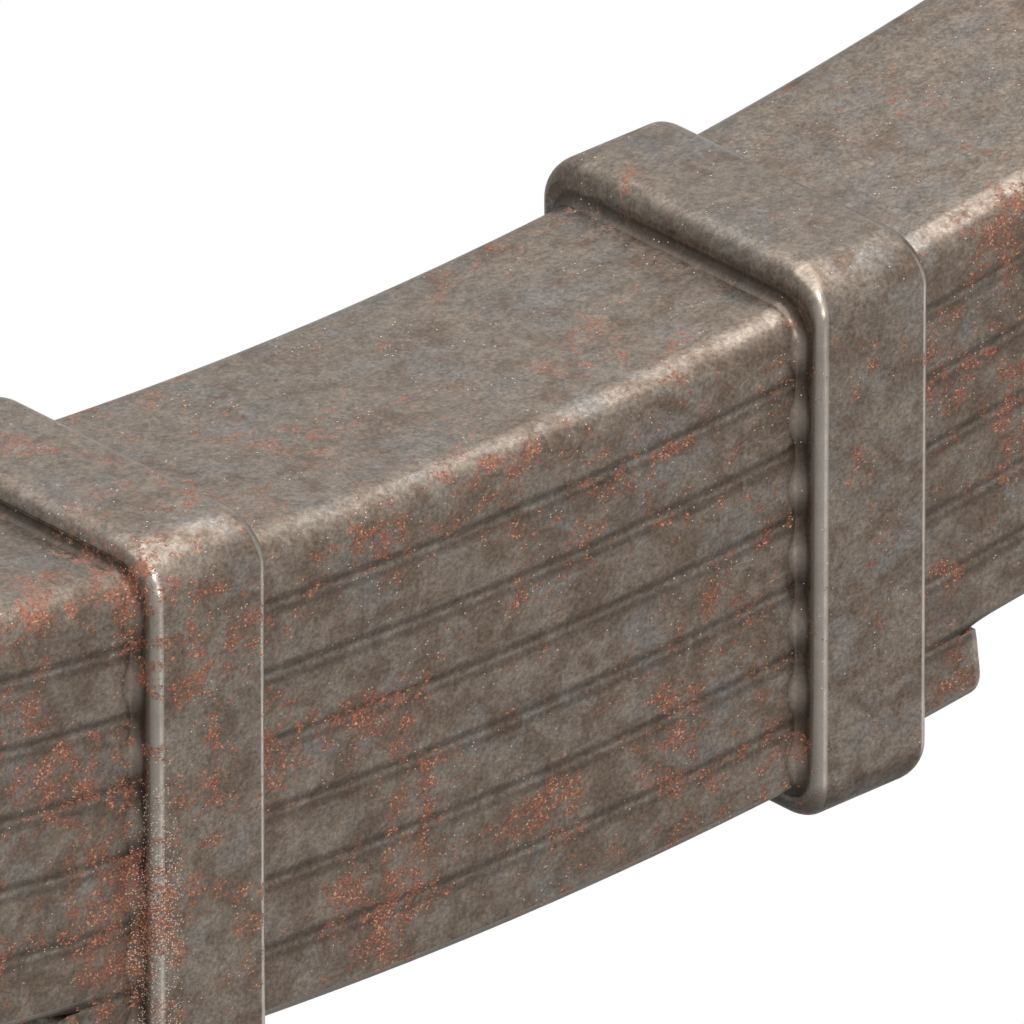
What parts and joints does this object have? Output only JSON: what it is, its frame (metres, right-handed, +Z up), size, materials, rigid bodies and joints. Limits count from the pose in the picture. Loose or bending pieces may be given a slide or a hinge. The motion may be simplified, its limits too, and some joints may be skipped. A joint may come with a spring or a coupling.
{
  "type": "leaf spring",
  "caption": "Semi-elliptic suspension leaf spring: a concave-up pack of graduated steel leaves held by closed bands, with rolled and bushed eyes and bolted rebound clips.",
  "frame": {"origin": "on the plane that the two bands stand on, midway between them and across the leaves", "axes": "+X along the spring towards the front eye, +Y across the leaves, +Z up, out of the concave side"},
  "size_m": [1.1396, 0.1216, 0.3289],
  "materials": {
    "leaf_steel": "mottled grey-brown bare spring steel with speckled rust",
    "band_steel": "mottled grey-brown forged steel with speckled rust on its edges",
    "fastener_steel": "dull dark steel with light rust",
    "sleeve_steel": "drawn steel tube, satin",
    "bush_rubber": "matt black moulded rubber"
  },
  "bodies": {
    "centre_pack": {"leaf_1_main": "leaf_steel", "leaf_2": "leaf_steel", "leaf_3": "leaf_steel", "leaf_4": "leaf_steel", "leaf_5": "leaf_steel", "leaf_6": "leaf_steel", "leaf_7": "leaf_steel", "front_band": "band_steel", "rear_band": "band_steel", "centre_bolt": "fastener_steel", "front_clip_strap": "fastener_steel", "front_clip_bolt": "fastener_steel", "front_clip_nut": "fastener_steel", "front_clip_spacer": "fastener_steel", "front_clip_rivet": "fastener_steel", "rear_clip_strap": "fastener_steel", "rear_clip_bolt": "fastener_steel", "rear_clip_nut": "fastener_steel", "rear_clip_spacer": "fastener_steel", "rear_clip_rivet": "fastener_steel"},
    "front_eye": {"front_bush_outer_sleeve": "sleeve_steel", "front_bush_rubber": "bush_rubber"},
    "front_bush_core": {"front_bush_inner_sleeve": "sleeve_steel"},
    "rear_eye": {"rear_bush_outer_sleeve": "sleeve_steel", "rear_bush_rubber": "bush_rubber"},
    "rear_bush_core": {"rear_bush_inner_sleeve": "sleeve_steel"}
  },
  "joints": [
    {"name": "front_half_flex", "type": "hinge", "parent": "centre_pack", "child": "front_eye", "pos_m": [0.1115, 0, 0.06863], "axis": [0, 1, 0], "range_deg": [-2, 8.5], "stiffness_Nm_per_rad": 88000, "deforming": ["leaf_1_main", "leaf_2", "leaf_3", "leaf_4", "leaf_5", "leaf_6", "leaf_7"]},
    {"name": "rear_half_flex", "type": "hinge", "parent": "centre_pack", "child": "rear_eye", "pos_m": [-0.1115, 0, 0.06863], "axis": [0, -1, 0], "range_deg": [-2, 8.5], "stiffness_Nm_per_rad": 88000, "deforming": ["leaf_1_main", "leaf_2", "leaf_3", "leaf_4", "leaf_5", "leaf_6", "leaf_7"]},
    {"name": "front_bush_twist", "type": "hinge", "parent": "front_eye", "child": "front_bush_core", "pos_m": [0.53134, 0, 0.29044], "axis": [0, 1, 0], "range_deg": [-20, 20], "stiffness_Nm_per_rad": 200},
    {"name": "rear_bush_twist", "type": "hinge", "parent": "rear_eye", "child": "rear_bush_core", "pos_m": [-0.53134, 0, 0.29044], "axis": [0, 1, 0], "range_deg": [-20, 20], "stiffness_Nm_per_rad": 200}
  ]
}
